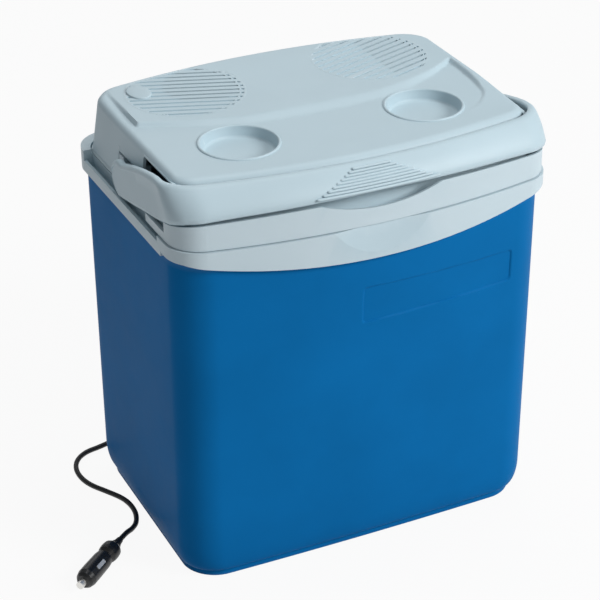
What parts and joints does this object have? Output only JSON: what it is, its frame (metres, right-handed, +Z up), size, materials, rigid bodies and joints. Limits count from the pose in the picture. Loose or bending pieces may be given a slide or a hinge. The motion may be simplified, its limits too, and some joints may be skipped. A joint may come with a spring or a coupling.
{
  "type": "thermoelectric cool box",
  "caption": "Portable 12 volt cool box: blue tapered tub, grey lid with cooling unit, grilles and cup recesses, carrying bail that locks the lid, and a lead with a socket plug.",
  "frame": {"origin": "middle of the tub's flat resting face, on the surface the box stands on", "axes": "+Z up, the front with the finger scoop faces -Y, +X to the right seen from the front"},
  "size_m": [0.5021, 0.4365, 0.442],
  "materials": {
    "blue_shell": "satin",
    "grey_plastic": "satin",
    "white_plastic": "satin",
    "foam": "matte",
    "black_plastic": "satin",
    "black_rubber": "satin",
    "seal_rubber": "matte",
    "aluminium": "satin",
    "steel": "satin",
    "nickel": "polished",
    "ceramic": "matte",
    "board_green": "satin",
    "component_dark": "matte"
  },
  "bodies": {
    "tub": {"body_shell": "blue_shell", "body_insulation": "foam", "inner_liner": "white_plastic", "top_collar": "grey_plastic", "hinge_pins": "steel", "cord_fall": "black_rubber", "cord_coil": "black_rubber", "cord_floor": "black_rubber", "plug_relief": "black_rubber", "plug_knob": "black_plastic", "plug_body": "black_plastic", "plug_fuse": "ceramic", "plug_spring": "steel", "plug_contacts": "nickel"},
    "bail": {"bail": "grey_plastic"},
    "hot_fan": {"hot_fan_rotor": "black_plastic"},
    "cold_fan": {"cold_fan_rotor": "black_plastic"},
    "contact_tip": {"plug_tip": "nickel"},
    "lid": {"lid_base": "grey_plastic", "lid_cover": "grey_plastic", "lid_screws": "steel", "lid_inner_panel": "white_plastic", "lid_insulation": "foam", "lid_seal": "seal_rubber", "cold_heatsink": "aluminium", "spacer_block": "aluminium", "peltier_module": "ceramic", "hot_heatsink": "aluminium", "thermal_cutout": "component_dark", "hot_fan_frame": "black_plastic", "cold_fan_frame": "black_plastic", "fan_screws": "steel", "inner_fan_grille": "white_plastic", "circuit_board": "board_green", "board_parts": "component_dark", "lid_wiring": "black_rubber", "bail_pivots": "steel", "cord_gland": "black_rubber", "cord_top": "black_rubber"}
  },
  "joints": [
    {"name": "lid_hinge", "type": "hinge", "parent": "tub", "child": "lid", "pos_m": [0, 0.147, 0.386], "axis": [-1, 0, 0], "range_deg": [0, 95], "deforming": ["cord_top"]},
    {"name": "bail_pivot", "type": "hinge", "parent": "lid", "child": "bail", "pos_m": [0, 0.007, 0.3935], "axis": [-1, 0, 0], "range_deg": [0, 160]},
    {"name": "hot_fan_spin", "type": "hinge", "parent": "lid", "child": "hot_fan", "pos_m": [-0.079, 0.079, 0.42], "axis": [0, 0, 1], "continuous": true},
    {"name": "cold_fan_spin", "type": "hinge", "parent": "lid", "child": "cold_fan", "pos_m": [-0.079, 0.076, 0.35], "axis": [0, 0, 1], "continuous": true},
    {"name": "tip_press", "type": "slide", "parent": "tub", "child": "contact_tip", "axis": [0.7557, 0.6549, 0], "range_m": [0, 0.003], "stiffness_N_per_m": 400, "springref_m": -0.003, "deforming": ["plug_spring"]}
  ]
}
